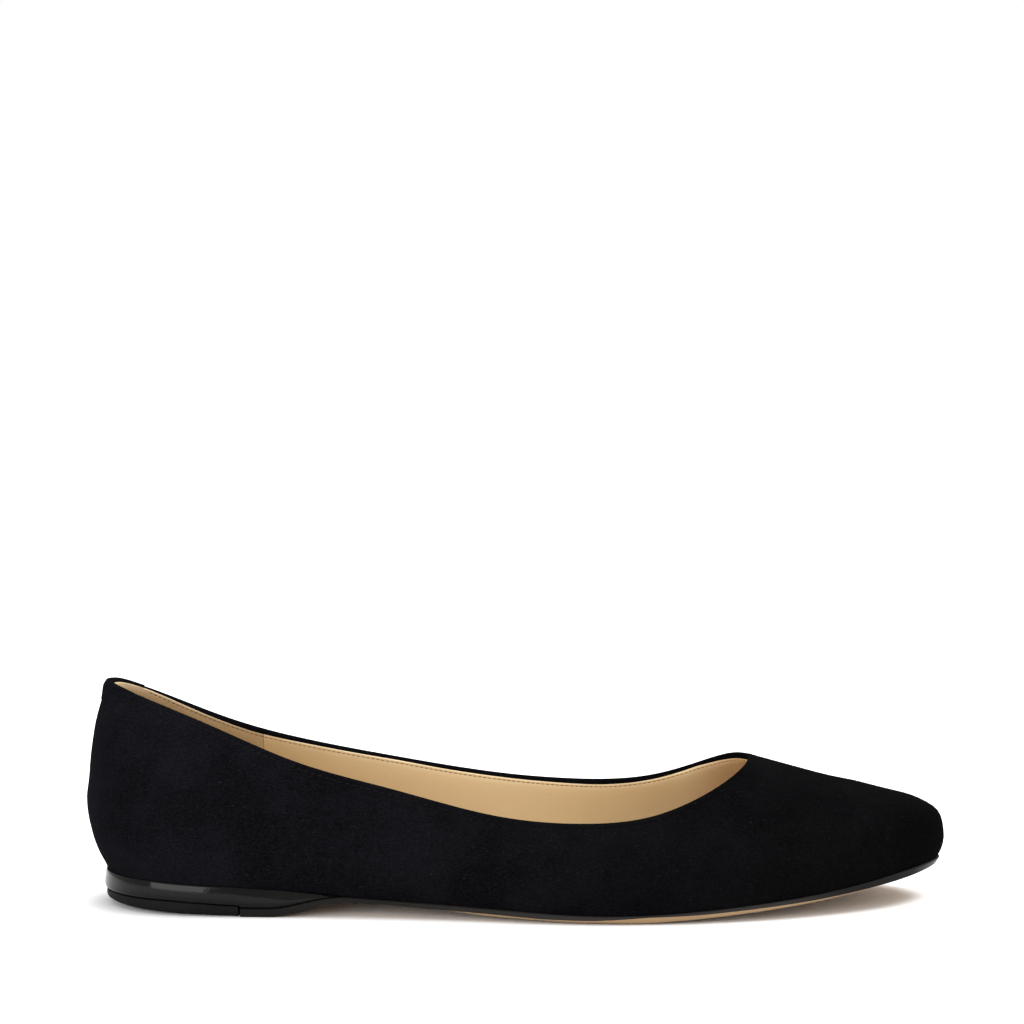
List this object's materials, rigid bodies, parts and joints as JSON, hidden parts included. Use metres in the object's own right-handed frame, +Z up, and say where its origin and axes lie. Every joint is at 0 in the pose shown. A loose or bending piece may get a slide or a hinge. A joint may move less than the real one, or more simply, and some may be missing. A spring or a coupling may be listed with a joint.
{
  "type": "almond toe flat",
  "caption": "Low slip-on flat with an almond toe, a suede upper open at the collar, a thin leather outsole and a low wedge heel.",
  "frame": {"origin": "on the floor, at the middle of the shoe's length and width", "axes": "+X from heel to toe, +Y from the outer side of the foot to the inner side, +Z up from the floor"},
  "size_m": [0.256, 0.0824, 0.0656],
  "materials": {
    "black_suede": "matte suede with a short nap",
    "tan_lining": "smooth lining leather",
    "tan_sole_leather": "smooth sole leather with a black lacquered edge",
    "black_lacquer": "glossy lacquer",
    "black_rubber": "matte rubber"
  },
  "bodies": {
    "root": {"upper": "black_suede", "back_tab": "black_suede", "insole": "tan_lining", "outsole": "tan_sole_leather", "heel_block": "black_lacquer", "top_lift": "black_rubber"}
  },
  "joints": []
}
